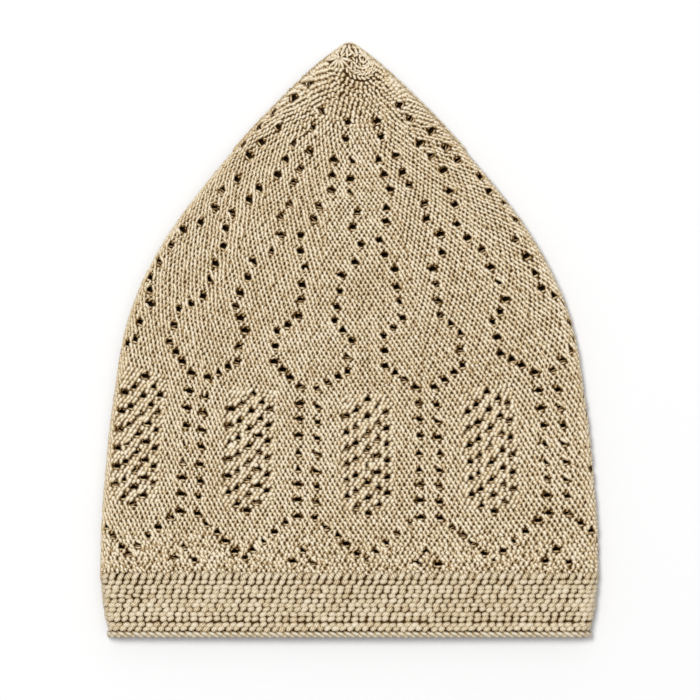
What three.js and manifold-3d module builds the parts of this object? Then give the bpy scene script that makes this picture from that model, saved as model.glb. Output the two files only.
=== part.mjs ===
import * as THREE from "three";
import Module from "manifold-3d";

// A crocheted kufi lying folded flat on its back, in millimetres. +X runs across it, +Y from
// the rim to the tip, and +Z out of the front layer. Z is 0 where the back layer rests, and
// the origin is under the middle of the folded cap.

// Driving dimensions
const CROWN_LENGTH = 235.1;
const BAND_HEIGHT = 23.8;
const EDGING_THICKNESS = 2.7;
const FLAT_WIDTH = 220.4;
const CROWN_WALL = 2.4;
const BAND_WALL = 3;
const HOLLOW_AT_FOLD = 5;
const FRONT_RISE = 1.5;
const PIECE_GAP = 0.3;
const PATTERN_REPEATS = 8;
const PATTERN_OFFSET = 7.9;
const EYELET_WIDTH = 3;
const EYELET_HEIGHT = 2.2;

// How finely the soft walls are faceted
const FACETS_ROUND = 52;
const FOLD_CROWDING = 0.7;
const CROWN_RINGS = 21;
const BAND_RINGS = 3;
const EDGING_SIDES = 8;
const EYELET_SIDES = 6;

// Silhouette of the crown: up is a share of its length, half a share of half the flat width.
const CROWN_OUTLINE = [
  { up: 0, half: 1 },
  { up: 0.092, half: 0.996 },
  { up: 0.181, half: 0.982 },
  { up: 0.271, half: 0.964 },
  { up: 0.361, half: 0.938 },
  { up: 0.428, half: 0.916 },
  { up: 0.495, half: 0.88 },
  { up: 0.563, half: 0.82 },
  { up: 0.63, half: 0.742 },
  { up: 0.697, half: 0.643 },
  { up: 0.764, half: 0.529 },
  { up: 0.832, half: 0.405 },
  { up: 0.884, half: 0.299 },
  { up: 0.929, half: 0.2 },
  { up: 0.963, half: 0.12 },
  { up: 0.985, half: 0.06 },
  { up: 0.996, half: 0.028 },
  { up: 1, half: 0.012 },
];

// Rounds of the crown: bow is how far a round climbs towards the tip at the folds, as a share
// of the crown's length. hollow is a share of the hollow at the rim, plump of the full wall.
const CROWN_ROUNDS = [
  { up: 0, bow: 0, hollow: 1, plump: 1 },
  { up: 0.108, bow: 0.017, hollow: 1, plump: 1 },
  { up: 0.331, bow: 0.051, hollow: 0.98, plump: 1 },
  { up: 0.477, bow: 0.082, hollow: 0.92, plump: 1 },
  { up: 0.62, bow: 0.094, hollow: 0.82, plump: 1 },
  { up: 0.742, bow: 0.079, hollow: 0.68, plump: 1 },
  { up: 0.854, bow: 0.045, hollow: 0.5, plump: 1 },
  { up: 0.929, bow: 0.019, hollow: 0.3, plump: 0.96 },
  { up: 0.97, bow: 0.006, hollow: 0.15, plump: 0.8 },
  { up: 1, bow: 0, hollow: 0, plump: 0.45 },
];
const LAST_ROUND = 0.985;
const HOLLOW_END = 0.9;
const HOLLOW_POLE = 0.92;

// Silhouette of the band: up is a share of its height, half a share of half the flat width.
const BAND_OUTLINE = [
  { up: 0, half: 0.968 },
  { up: 0.15, half: 0.978 },
  { up: 0.55, half: 0.992 },
  { up: 1, half: 1 },
];

// One lace repeat: across is in stitches from the middle of its panel, of the stitches in a
// repeat, and round counts the crown's rounds from the band. mirrored ones come in pairs.
const STITCHES_IN_REPEAT = 24;
const ROUNDS_IN_CROWN = 131;
const LACE_REPEAT = [
  { name: "foot of the chevron", across: 0, round: 5, mirrored: false },
  { name: "arm of the chevron", across: 5.8, round: 10, mirrored: true },
  { name: "lower end of the ladder", across: 10.2, round: 20, mirrored: true },
  { name: "upper end of the ladder", across: 10.2, round: 38, mirrored: true },
  { name: "middle of the panel", across: 0, round: 27, mirrored: false },
  { name: "top of the panel", across: 2.2, round: 35, mirrored: true },
  { name: "waist of the leaf", across: 4.4, round: 54, mirrored: true },
  { name: "shoulder of the leaf", across: 8, round: 68, mirrored: true },
  { name: "tip of the leaf", across: 0, round: 80, mirrored: false },
];

const FULL_TURN = 2 * Math.PI;
const halfWidth = FLAT_WIDTH / 2;
const capLength = EDGING_THICKNESS + PIECE_GAP + BAND_HEIGHT + PIECE_GAP + CROWN_LENGTH;
const rimY = -capLength / 2;
const bandY = rimY + EDGING_THICKNESS + PIECE_GAP;
const crownY = bandY + BAND_HEIGHT + PIECE_GAP;

// The value of one column of a table at a share of the way up.
function lookUp(table, column, up) {
  const upper = table.findIndex((row) => row.up >= up);
  if (upper < 0) {
    return table[table.length - 1][column];
  }
  if (upper === 0) {
    return table[0][column];
  }
  const low = table[upper - 1];
  const high = table[upper];
  return THREE.MathUtils.mapLinear(up, low.up, high.up, low[column], high[column]);
}

// A point of a flattened section. share goes round from the middle of the front over the
// right fold and the back, with the same length of cloth for each step.
function sectionPoint(share, half, height, rise) {
  const bend = Math.min(height / 2, half);
  const flat = half - bend;
  const quarterLength = flat + (bend * Math.PI) / 2;
  const quarters = 4 * THREE.MathUtils.euclideanModulo(share, 1);
  const side = quarters <= 2 ? 1 : -1;
  const fromFront = side > 0 ? quarters : 4 - quarters;
  const isFront = fromFront < 1;
  const along = quarterLength * (isFront ? fromFront : 2 - fromFront);
  const turn = Math.max(0, along - flat) / bend;
  const x = Math.min(along, flat) + bend * Math.sin(turn);
  const lift = isFront ? rise * (1 - (x / half) ** 2) : 0;
  return { x: side * x, z: bend * (1 + (isFront ? 1 : -1) * Math.cos(turn)) + lift };
}

// The outside of the crown, by the share round it and the share up it.
function crownPoint(share, up) {
  const bow = lookUp(CROWN_ROUNDS, "bow", up);
  const hollow = lookUp(CROWN_ROUNDS, "hollow", up);
  const plump = lookUp(CROWN_ROUNDS, "plump", up);
  const foldHalf = halfWidth * lookUp(CROWN_OUTLINE, "half", up + bow);
  const height = 2 * CROWN_WALL * plump + HOLLOW_AT_FOLD * hollow;
  const flatPoint = sectionPoint(share, foldHalf, height, FRONT_RISE * hollow);
  const across = flatPoint.x / foldHalf;
  const upHere = up + bow * across ** 2;
  const x = across * halfWidth * lookUp(CROWN_OUTLINE, "half", upHere);
  return new THREE.Vector3(x, crownY + CROWN_LENGTH * upHere, flatPoint.z);
}

// The outside of the band, by the share round it and the share up it.
function bandPoint(share, up) {
  const half = halfWidth * lookUp(BAND_OUTLINE, "half", up);
  const height = 2 * BAND_WALL + HOLLOW_AT_FOLD;
  const flatPoint = sectionPoint(share, half, height, FRONT_RISE);
  return new THREE.Vector3(flatPoint.x, bandY + BAND_HEIGHT * up, flatPoint.z);
}

// Directions of a surface at a point: round it, up it and out of it.
function directions(surface, share, up) {
  const small = 0.002;
  const round = surface(share + small, up).sub(surface(share - small, up)).normalize();
  const climb = surface(share, up + small).sub(surface(share, up - small));
  const out = new THREE.Vector3().crossVectors(round, climb).normalize();
  return { round, climb: new THREE.Vector3().crossVectors(out, round), out };
}

// The share round at which a facet starts: facets are narrower where the cloth folds.
function facetShare(i) {
  const even = i / FACETS_ROUND;
  return even + (FOLD_CROWDING * Math.sin(2 * FULL_TURN * even)) / (2 * FULL_TURN);
}

// One closed loop of points at a share of the way up, set in from the outside by depth.
function loopAt(surface, up, depth) {
  const loop = [];
  for (let i = 0; i < FACETS_ROUND; i += 1) {
    const share = facetShare(i);
    const point = surface(share, up);
    if (depth > 0) {
      point.addScaledVector(directions(surface, share, up).out, -depth);
    }
    loop.push(point);
  }
  return loop;
}

function loopsBetween(surface, from, to, rings, depth) {
  const loops = [];
  for (let i = 0; i <= rings; i += 1) {
    loops.push(loopAt(surface, THREE.MathUtils.lerp(from, to, i / rings), depth));
  }
  return loops;
}

// A closed skin through a row of loops. With poles it ends in a point at both ends, and
// without them its last loop is joined to its first.
function skin(loops, poles) {
  const size = loops[0].length;
  const points = loops.flat();
  const faces = [];
  const joins = poles ? loops.length - 1 : loops.length;
  for (let row = 0; row < joins; row += 1) {
    const next = (row + 1) % loops.length;
    for (let i = 0; i < size; i += 1) {
      const j = (i + 1) % size;
      const corners = [row * size + i, row * size + j, next * size + j, next * size + i];
      faces.push(corners[0], corners[1], corners[2]);
      faces.push(corners[0], corners[2], corners[3]);
    }
  }
  if (poles) {
    const first = points.length;
    const last = points.length + 1;
    points.push(poles.first, poles.last);
    for (let i = 0; i < size; i += 1) {
      const j = (i + 1) % size;
      faces.push(first, j, i);
      faces.push(last, (loops.length - 1) * size + i, (loops.length - 1) * size + j);
    }
  }
  const geometry = new THREE.BufferGeometry().setFromPoints(points);
  geometry.setIndex(faces);
  return geometry;
}

const wasm = await Module();
wasm.setup();

function toManifold(geometry) {
  return new wasm.Manifold(new wasm.Mesh({
    numProp: 3,
    vertProperties: Float32Array.from(geometry.attributes.position.array),
    triVerts: Uint32Array.from(geometry.index.array),
  }));
}

function toGeometry(manifold) {
  const mesh = manifold.getMesh();
  const geometry = new THREE.BufferGeometry();
  geometry.setAttribute("position", new THREE.BufferAttribute(mesh.vertProperties, 3));
  geometry.setIndex(new THREE.BufferAttribute(mesh.triVerts, 1));
  return geometry;
}

// A short peg square to the cloth, as long as one wall and part of the hollow below it.
function eyeletPeg(share, up) {
  const { round, climb, out } = directions(crownPoint, share, up);
  const spare = 0.35 * HOLLOW_AT_FOLD * lookUp(CROWN_ROUNDS, "hollow", up);
  const centre = crownPoint(share, up);
  const loops = [spare, -CROWN_WALL - spare].map((height) => {
    const loop = [];
    for (let i = 0; i < EYELET_SIDES; i += 1) {
      const angle = (FULL_TURN * i) / EYELET_SIDES;
      loop.push(centre.clone()
        .addScaledVector(round, (EYELET_WIDTH / 2) * Math.cos(angle))
        .addScaledVector(climb, (EYELET_HEIGHT / 2) * Math.sin(angle))
        .addScaledVector(out, height));
    }
    return loop;
  });
  const poles = {
    first: centre.clone().addScaledVector(out, -CROWN_WALL - spare),
    last: centre.clone().addScaledVector(out, spare),
  };
  return skin([loops[1], loops[0]], poles);
}

function crownGeometry() {
  const innerRings = CROWN_RINGS - 2;
  const outer = loopsBetween(crownPoint, 0, LAST_ROUND, CROWN_RINGS, 0);
  const inner = loopsBetween(crownPoint, HOLLOW_END, 0, innerRings, CROWN_WALL);
  const tip = new THREE.Vector3(0, crownY + CROWN_LENGTH, CROWN_WALL);
  const poleHeight = crownPoint(0, HOLLOW_POLE).z / 2;
  const hollowPole = new THREE.Vector3(0, crownY + CROWN_LENGTH * HOLLOW_POLE, poleHeight);
  let crown = toManifold(skin([...inner, ...outer], { first: hollowPole, last: tip }));
  const lengthRound = 2 * FLAT_WIDTH;
  for (let repeat = 0; repeat < PATTERN_REPEATS; repeat += 1) {
    for (const eyelet of LACE_REPEAT) {
      const up = eyelet.round / ROUNDS_IN_CROWN;
      for (const side of eyelet.mirrored ? [-1, 1] : [1]) {
        const stitches = (side * eyelet.across) / STITCHES_IN_REPEAT;
        const share = (repeat + stitches) / PATTERN_REPEATS + PATTERN_OFFSET / lengthRound;
        crown = crown.subtract(toManifold(eyeletPeg(share, up)));
      }
    }
  }
  return toGeometry(crown);
}

function bandGeometry() {
  const outer = loopsBetween(bandPoint, 0, 1, BAND_RINGS, 0);
  const inner = loopsBetween(bandPoint, 1, 0, BAND_RINGS, BAND_WALL);
  return skin([...inner, ...outer], null);
}

// A cord of stitches along the middle of the band's lower edge.
function edgingGeometry() {
  const radius = EDGING_THICKNESS / 2;
  const loops = [];
  for (let i = 0; i < EDGING_SIDES; i += 1) {
    const angle = (FULL_TURN * i) / EDGING_SIDES;
    const loop = loopAt(bandPoint, 0, BAND_WALL / 2 - radius * Math.cos(angle));
    for (const point of loop) {
      point.y = rimY + radius + radius * Math.sin(angle);
    }
    loops.push(loop);
  }
  return skin(loops, null);
}

const crownYarn = new THREE.MeshStandardMaterial({ color: 0xb6a486, roughness: 0.85, metalness: 0 });
const bandYarn = new THREE.MeshStandardMaterial({ color: 0xbaa88a, roughness: 0.85, metalness: 0 });
const edgingYarn = new THREE.MeshStandardMaterial({ color: 0xb3a182, roughness: 0.85, metalness: 0 });

function piece(name, geometry, material) {
  geometry.computeVertexNormals();
  const mesh = new THREE.Mesh(geometry, material);
  mesh.name = name;
  return mesh;
}

const kufi = new THREE.Group();
kufi.name = "kufi";
kufi.add(piece("crown", crownGeometry(), crownYarn));
kufi.add(piece("band", bandGeometry(), bandYarn));
kufi.add(piece("rim_edging", edgingGeometry(), edgingYarn));

export default kufi;
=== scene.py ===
"""A crocheted kufi with a lace crown, lying folded flat on its back.

Each stitch of the crown is a leaning strand of yarn with a thinner leg behind it, repeated in
rounds about the crown's centre and pushed aside where the lace has an eyelet. The band is
plain crochet with a corded edge.
"""
import math

import bpy
import numpy as np
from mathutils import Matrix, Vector
from mathutils.geometry import delaunay_2d_cdt


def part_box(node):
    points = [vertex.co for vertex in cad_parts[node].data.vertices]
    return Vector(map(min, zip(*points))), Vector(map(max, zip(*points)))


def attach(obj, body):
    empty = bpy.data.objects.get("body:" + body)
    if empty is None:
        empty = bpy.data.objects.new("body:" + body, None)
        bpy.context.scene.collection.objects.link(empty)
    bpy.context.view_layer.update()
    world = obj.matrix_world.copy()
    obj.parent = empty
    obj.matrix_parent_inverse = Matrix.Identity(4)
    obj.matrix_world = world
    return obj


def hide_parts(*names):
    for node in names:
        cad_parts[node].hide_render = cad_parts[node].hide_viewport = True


bl_info = {
    "name": "Crocheted kufi",
    "version": (1, 0, 0),
    "blender": (4, 5, 0),
    "location": "3D View > Sidebar > Kufi",
    "description": "Builds a lace kufi stitch by stitch over its packed shells",
    "category": "Add Mesh",
}

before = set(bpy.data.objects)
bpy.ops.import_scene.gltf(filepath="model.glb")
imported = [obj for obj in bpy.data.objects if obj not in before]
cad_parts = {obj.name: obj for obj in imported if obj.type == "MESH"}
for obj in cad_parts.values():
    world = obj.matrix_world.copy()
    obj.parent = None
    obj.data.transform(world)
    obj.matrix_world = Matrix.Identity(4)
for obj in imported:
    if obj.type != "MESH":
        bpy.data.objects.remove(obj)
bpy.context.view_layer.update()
CROWN_LOW, CROWN_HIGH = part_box("crown")
BAND_LOW, BAND_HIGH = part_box("band")
EDGING_LOW, EDGING_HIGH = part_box("rim_edging")

MM = 0.001
HALF_WIDTH = CROWN_HIGH.x
CROWN_Y = CROWN_LOW.y
CROWN_LENGTH = CROWN_HIGH.y - CROWN_LOW.y
BAND_Y = BAND_LOW.y
BAND_LENGTH = BAND_HIGH.y - BAND_LOW.y
CROWN_WALL = 2.4 * MM
BAND_WALL = 3.0 * MM
HOLLOW_AT_FOLD = 5.0 * MM
FRONT_RISE = 1.5 * MM
SEED = 7

# Silhouettes: up is a share of a shell's length, half a share of half the flat width.
CROWN_OUTLINE = {
    "up": (0, .092, .181, .271, .361, .428, .495, .563, .63, .697, .764, .832, .884, .929,
           .963, .985, .996, 1),
    "half": (1, .996, .982, .964, .938, .916, .88, .82, .742, .643, .529, .405, .299, .2,
             .12, .06, .028, .012),
}
BAND_OUTLINE = {"up": (0, .15, .55, 1), "half": (.968, .978, .992, 1)}

# How the two layers close towards the tip: shares of the hollow and of the full wall.
CROWN_CLOSING = {
    "up": (0, .331, .477, .62, .742, .854, .929, .97, 1),
    "hollow": (1, .98, .92, .82, .68, .5, .3, .15, 0),
    "plump": (1, 1, 1, 1, 1, 1, .96, .8, .45),
}

# How far a round climbs towards the tip at the folds, as a share of the crown's length.
ROUND_BOW = {"up": (0, .108, .331, .477, .62, .742, .854, .929, 1),
             "bow": (.004, .011, .043, .065, .07, .049, .045, .051, 0)}

# The crown is worked from a centre that lies on the front, a little right of the tip. out is
# a round's distance from that centre as a share of the crown's length. right and front are
# how far the round is drawn that way, spread how the lace spreads over the front.
ROUND_DRIFT = {
    "out": (0, .12, .2, .3, .45, .6, .7, .85, 1),
    "right": (.027, .01, .006, .006, .005, .004, .0035, .003, .004),
    "front": (.025, .049, .048, .031, .022, .012, .007, .006, .003),
    "spread": (.11, .124, .121, .12, .078, .037, .026, .032, .026),
}
ROUND_TURN = .0735
RIGHT_FOLD = .9725
LEFT_FOLD = -1.0825
FOLD_SKEW = .055

# The lace: places of the eyelets in one repeat. across is in stitches from the middle of the
# panel, round counts rounds from the band.
REPEATS = 8
REPEAT_STITCHES = 24
ROUNDS = 131.4
LEFT_LADDER = (14.9, 18.8, 22.6, 26.5, 30.6, 34.5, 38.5, 42.5, 47.1)
RIGHT_LADDER = (15.2, 19.3, 23.1, 26.8, 30.8, 35.1, 39.1, 43.1, 47.4)
PANEL_COLUMNS = {
    -.3: (16.2, 20, 23.8, 27.8, 31.8, 35.9, 40.2, 44.6),
    -2.35: (17.7, 21.6, 25.5, 29.5, 33.5, 37.5, 41.8),
    1.65: (18.4, 22.4, 26.3, 30.3, 34.5, 38.6, 42.7),
    -4.4: (20.4, 24.3, 28.2, 32.1, 36.1, 40.2),
    3.75: (21.2, 25.1, 29.1, 33.2, 37.1, 41.1),
}
CHEVRON = ((8, 13.6), (5.5, 11.1), (3.4, 8.8), (1.4, 6.6), (-8.3, 12.5), (-6.1, 10.7),
           (-4.4, 8.5), (-2.4, 6), (-.5, 4.5))
TRIANGLE = ((11.1, 6.7), (9.2, 3.9), (13.1, 3.5))
LEFT_LINE = ((-8.3, 48.7), (-6.3, 50.4), (-4.3, 51.8), (-4.2, 55.6), (-3.7, 59.9),
             (-5.4, 62.7), (-7.4, 65), (-7.2, 68.7), (-6.6, 72.8), (-6.5, 77), (-2.8, 80.5),
             (-1.4, 85), (-3.3, 89.7), (-1.9, 93.7), (-4.7, 99.8), (-4.4, 103.8),
             (-3.6, 108.6), (-8.9, 113.8), (-8.7, 117.7))
RIGHT_LINE = ((7.5, 49.6), (5.9, 51.4), (3.9, 53.2), (3.8, 57.1), (3.6, 60.9), (5.7, 62.9),
              (8, 65.5), (8, 69.7), (7.8, 73.7), (7.7, 78.1), (5.5, 82), (4.7, 86),
              (7.5, 90.9), (8.4, 94.7), (11.7, 100), (11.6, 104.5), (10.5, 108.5))

# Eyelets: half width and height of the hole in the ground, and of the room that the strands
# leave round it. Those of the back are smaller.
EYELET_HALF = (1.75 * MM, .88 * MM)
EYELET_PUSH = (2.05 * MM, 1.3 * MM)
EYELET_SQUARENESS = 2.6
HOLE_SIDES = 8
BACK_EYELET = .55
# What lies less than this above or below an eyelet's cloth is on its own layer.
SAME_LAYER = 1.8 * MM
# Cloth whose outward direction points up or down by less than this is turning at a fold.
FOLD_TURN = .6
# Rounds, by how far out they lie: from where stitches have their full width, from where they
# are plain, and where the rings of loops begin.
FULL_PITCH_OUT = .66
PLAIN_CENTRE = .115
ROSETTE_END = .036
# How the crown's strands lean, and how they do in the panels of eyelets: the middle and the
# reach of a panel, as across and round.
STRAND_LEAN = math.radians(24)
PANEL_LEAN = math.radians(-20)
PANEL_MIDDLE = (-.3, 31)
PANEL_REACH = (5.2, 14.5)
# How far below the tip the rounds of stitches stop.
TIP_DEPTH = 4.2 * MM
# Rows of strands that close the very tip: up, how many on each layer and half their length.
TIP_ROWS = ((.9915, 5, 1.5 * MM), (.983, 8, 2 * MM))
# Where the strands along the folds begin and how far apart they stand, as shares up.
FOLD_CORD = (.8, .0105)
# The fan of long strands left of the centre: its middle, each strand's angle, their length.
FAN_MIDDLE = (-4.1 * MM, 124.3 * MM)
FAN_ANGLES = (198, 224, 249, 273, 297, 321, 345, 110, 155)
FAN_REACH = 6.2 * MM
# Rings of chain stitches about the crown's centre: out, and how many stitches.
ROSETTE_RINGS = ((.002, 3), (.0105, 8), (.0205, 14), (.0305, 20))
BAND_STITCHES = 132
BAND_PITCH = 3.42 * MM
# Rows of knobs in the band: up is a share of its height, step a share of a stitch by which
# the row stands to the right of the first, reach half a knob's length in stitches.
BAND_ROWS = {
    "up": (.039, .107, .218, .305, .39, .471, .545, .638, .723, .8, .897),
    "step": (.18, .72, .72, .75, .24, .19, .6, .53, .86, .9, .38),
    "reach": (.52, .54, .52, .54, .52, .54, .52, .54, .52, .54, .52),
    "slant": (.45, .2, .45, .2, .45, .2, .45, .2, .45, .2, .5),
}
# Rows of the rim cord: how deep in it each lies, its lean and how far up it stands. A slip
# stitch reaches this far to either side of its middle.
CORD_ROWS = ((.55, -.42, .1), (1.5, .3, -.25), (2.45, -.42, .1))
SLIP_REACH = 2.9 * MM

# The stage: its lamps by name, place, size and watts, and what the camera takes in.
SKY_STRENGTH = .5
LAMPS = (("key", (-.54, .55, 3), 1, 86), ("fill", (.8, -.3, 3.1), 2, 14))
VIEW_WIDTH = 308 * MM
CAMERA_DISTANCE = 3
PHOTO_MIDDLE = (.0003, -.0046)


class KufiSizes(bpy.types.PropertyGroup):
    """Sizes that a maker would change."""
    yarn: bpy.props.FloatProperty(
        name="Yarn", description="Thickness of the yarn in the crown", default=1.3 * MM,
        min=.6 * MM, max=2 * MM, subtype="DISTANCE", unit="LENGTH")
    knob: bpy.props.FloatProperty(
        name="Knob", description="Height of a knob in the band", default=2.35 * MM,
        min=1 * MM, max=3 * MM, subtype="DISTANCE", unit="LENGTH")
    unevenness: bpy.props.FloatProperty(
        name="Unevenness", description="How far stitches stray from their even places",
        default=.14 * MM, min=0, max=.5 * MM, subtype="DISTANCE", unit="LENGTH")


class KufiColours(bpy.types.PropertyGroup):
    """Colours of the yarn, with its painted light and shade, and of the stage."""
    # Painted light and shade: light is the yarn lit on top of a strand, middle the same yarn
    # painted half in shade down its sides, dark painted deep shade under it.
    light: bpy.props.FloatVectorProperty(
        name="Light yarn", description="Colour on top of a strand", subtype="COLOR",
        default=(.675, .597, .455), min=0, max=1)
    middle: bpy.props.FloatVectorProperty(
        name="Middle yarn", description="Colour down the sides of a strand", subtype="COLOR",
        default=(.45, .325, .16), min=0, max=1)
    dark: bpy.props.FloatVectorProperty(
        name="Dark yarn", description="Colour under a strand", subtype="COLOR",
        default=(.165, .083, .02), min=0, max=1)
    # Painted shade: the cloth below the stitches is the same yarn, painted darker as it lies in
    # their shade.
    ground: bpy.props.FloatVectorProperty(
        name="Ground", description="Colour of the cloth below the stitches",
        subtype="COLOR", default=(.37, .25, .115), min=0, max=1)
    # Painted shade: the pits between stitches are painted nearly black, as the shade in the
    # gaps.
    pit: bpy.props.FloatVectorProperty(
        name="Pit", description="Colour deep between the stitches", subtype="COLOR",
        default=(.042, .018, .004), min=0, max=1)
    # Painted shade: the hollow's wall is painted nearly black, as the shade inside the cap.
    inside: bpy.props.FloatVectorProperty(
        name="Inside", description="Colour of the hollow's wall", subtype="COLOR",
        default=(.025, .014, .006), min=0, max=1)
    floor: bpy.props.FloatVectorProperty(
        name="Floor", description="Colour of the pale surface", subtype="COLOR",
        default=(.69, .69, .69), min=0, max=1)


def look_up(table, column, at, key="up"):
    """One column of a table, read along a smooth curve through its values."""
    keys = np.array(table[key], float)
    values = np.array(table[column], float)
    slopes = np.gradient(values, keys)
    low = np.clip(np.searchsorted(keys, at) - 1, 0, len(keys) - 2)
    step = keys[low + 1] - keys[low]
    t = np.clip((at - keys[low]) / step, 0, 1)
    start = (1 + 2 * t) * (1 - t) ** 2 * values[low] + t * (1 - t) ** 2 * step * slopes[low]
    end = t * t * (3 - 2 * t) * values[low + 1] + t * t * (t - 1) * step * slopes[low + 1]
    return start + end


def section_point(across, front, half, height, rise):
    """x and z on a flattened section. across runs from fold to fold by length of cloth."""
    bend = np.minimum(height / 2, half)
    flat = half - bend
    length = np.abs(across) * (flat + bend * np.pi / 2)
    turn = np.maximum(0, length - flat) / bend
    x = np.sign(across) * (np.minimum(length, flat) + bend * np.sin(turn))
    lift = np.where(front, rise * np.maximum(0, 1 - (x / half) ** 2), 0)
    z = bend * (1 + np.where(front, 1, -1) * np.cos(turn)) + lift
    return x, z


def crown_point(across, front, up):
    """Places on the outside of the crown, by the share across a layer and the share up."""
    half = HALF_WIDTH * look_up(CROWN_OUTLINE, "half", up)
    hollow = look_up(CROWN_CLOSING, "hollow", up)
    height = 2 * CROWN_WALL * look_up(CROWN_CLOSING, "plump", up) + HOLLOW_AT_FOLD * hollow
    x, z = section_point(across, front, half, height, FRONT_RISE * hollow)
    return np.stack([x, CROWN_Y + CROWN_LENGTH * up, z], -1)


def band_point(turns, up):
    """Places on the outside of the band, by turns from the middle of the front."""
    quarters = 4 * np.mod(turns + .5, 1) - 2
    front = np.abs(quarters) <= 1
    across = np.where(front, quarters, np.sign(quarters) * 2 - quarters)
    half = HALF_WIDTH * look_up(BAND_OUTLINE, "half", up)
    height = 2 * BAND_WALL + HOLLOW_AT_FOLD
    x, z = section_point(across, front, half, height, FRONT_RISE)
    return np.stack([x, BAND_Y + BAND_LENGTH * up + 0 * x, z], -1)


def lace_point(repeats, out):
    """Places on the crown by its lace: repeats round from the front, and out from its centre."""
    even = repeats * 4 / REPEATS
    spread = look_up(ROUND_DRIFT, "spread", out, "out")
    lean = spread * 2 / np.pi * np.sin(even * np.pi / 2)
    angle = (even - lean + ROUND_TURN + 1) * np.pi / 2
    right = look_up(ROUND_DRIFT, "right", out, "out") - out * np.cos(angle)
    forward = look_up(ROUND_DRIFT, "front", out, "out") + out * np.sin(angle)
    up = 1 - np.hypot(right, forward)
    place = np.arctan2(forward, -right) * 2 / np.pi - 1
    place = np.where(place < -2, place + 4, place)
    front = (place >= LEFT_FOLD) & (place <= RIGHT_FOLD)
    across = place + 0
    for _ in range(4):
        across = place + FOLD_SKEW * across ** 2 * (1 - across / 2)
    behind = np.where(place > 0, place, place + 4) - RIGHT_FOLD
    across = np.where(front, across, 1 - 2 * behind / (4 + LEFT_FOLD - RIGHT_FOLD))
    up = np.clip(up + look_up(ROUND_BOW, "bow", up) * across ** 2, 0, .9995)
    return crown_point(across, front, up)


def unit(vectors):
    return vectors / np.maximum(np.linalg.norm(vectors, axis=-1, keepdims=True), 1e-12)


def lace_frames(repeats, out):
    """Places on the crown with the directions round it, up its wales and out of it."""
    small = .004
    place = lace_point(repeats, out)
    side = small / np.maximum(out, .02)
    along = unit(lace_point(repeats + side, out) - lace_point(repeats - side, out))
    climb = lace_point(repeats, out - small / 2) - lace_point(repeats, out + small / 2)
    normal = unit(np.cross(along, climb))
    return place, along, unit(np.cross(normal, along)), normal


def band_frames(turns, up):
    """Places on the band with the directions round it, up it and out of it."""
    small = .001
    place = band_point(turns, up)
    along = unit(band_point(turns + small, up) - band_point(turns - small, up))
    climb = band_point(turns, up + small) - band_point(turns, up - small)
    normal = unit(np.cross(along, climb))
    return place, along, unit(np.cross(normal, along)), normal


def round_length(out):
    around = lace_point(np.linspace(-4, 4, 400, endpoint=False), np.full(400, out))
    return np.linalg.norm(around - np.roll(around, 1, 0), axis=1).sum()


def round_places():
    """How far out each round of stitches lies, from the band to the centre."""
    places = [1 - .25 / ROUNDS]
    while places[-1] > ROSETTE_END:
        growth = np.interp(places[-1], (.05, .14), (.82, 1))
        places.append(places[-1] - growth / ROUNDS)
    return places


def stitch_count(out):
    """How many stitches stand in each repeat of a round, in the main part of the crown."""
    return REPEAT_STITCHES * min(1, round_length(out) / round_length(FULL_PITCH_OUT))


def stitches_in_round(out, index):
    """Repeats round at which a round's stitches stand. Each repeat has straight wales that
    end where two repeats meet, as a decrease does."""
    count = stitch_count(out)
    offset = .5 * (index % 2)
    if out < PLAIN_CENTRE:
        growth = np.interp(out, (.03, .11), (1.25, 1.1))
        total = round(count * REPEATS / growth)
        return (np.arange(total) + offset) / total * REPEATS - 4.5
    steps = np.arange(-REPEAT_STITCHES, REPEAT_STITCHES) + offset
    steps = steps[(steps >= -count / 2) & (steps < count / 2)]
    space = count + steps.min() - steps.max()
    if space < .5:
        steps = steps[:-1]
    elif space > 1.5:
        steps = np.append(steps, steps.max() + space / 2)
    return (np.arange(REPEATS)[:, None] - 4 + steps[None] / count).ravel()


def lace_chart():
    """Every eyelet of one repeat, as across and round."""
    marks = list(CHEVRON + TRIANGLE + LEFT_LINE + RIGHT_LINE)
    columns = {-10.35: LEFT_LADDER, 10: RIGHT_LADDER, **PANEL_COLUMNS}
    for across, rounds in columns.items():
        marks += [(across, at) for at in rounds]
    return np.array(marks)


def eyelets():
    """Repeats and out of each eyelet of the lace, all round the crown."""
    chart = lace_chart()
    repeats = (np.arange(REPEATS)[:, None] - 4 + chart[None, :, 0] / REPEAT_STITCHES).ravel()
    return repeats, np.tile(1 - chart[:, 1] / ROUNDS, REPEATS)


def clear_of_tip(places):
    """Whether each stitch leaves room for the tip's own strands and for the fan's."""
    from_fan = places[:, :2] - FAN_MIDDLE
    in_fan = (np.linalg.norm(from_fan, axis=1) < .85 * FAN_REACH) & (from_fan[:, 1] < 0)
    in_fan &= places[:, 2] > 2 * MM
    return (places[:, 1] < CROWN_HIGH.y - TIP_DEPTH) & ~in_fan


def eyelet_frames():
    """Places and directions of all eyelets, and how tall each is: those above the panels are
    rounder."""
    repeats, out = eyelets()
    return *lace_frames(repeats, out), np.interp(out, (.55, .75), (1.3, 1))


def near_eyelet(points, hole, reach):
    """The points within reach of an eyelet and on its own layer, and how far beside and above
    it they lie. reach and beside are in half widths of its room, above in half heights."""
    place, along, climb, normal, tall = hole
    half_width, half_height = EYELET_PUSH
    offset = points - place
    same_layer = np.abs(offset @ normal) < SAME_LAYER
    near = np.flatnonzero(same_layer & ((offset ** 2).sum(1) < (reach * half_width) ** 2))
    side = offset[near] @ along / half_width
    return near, side, offset[near] @ climb / (half_height * tall)


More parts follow.
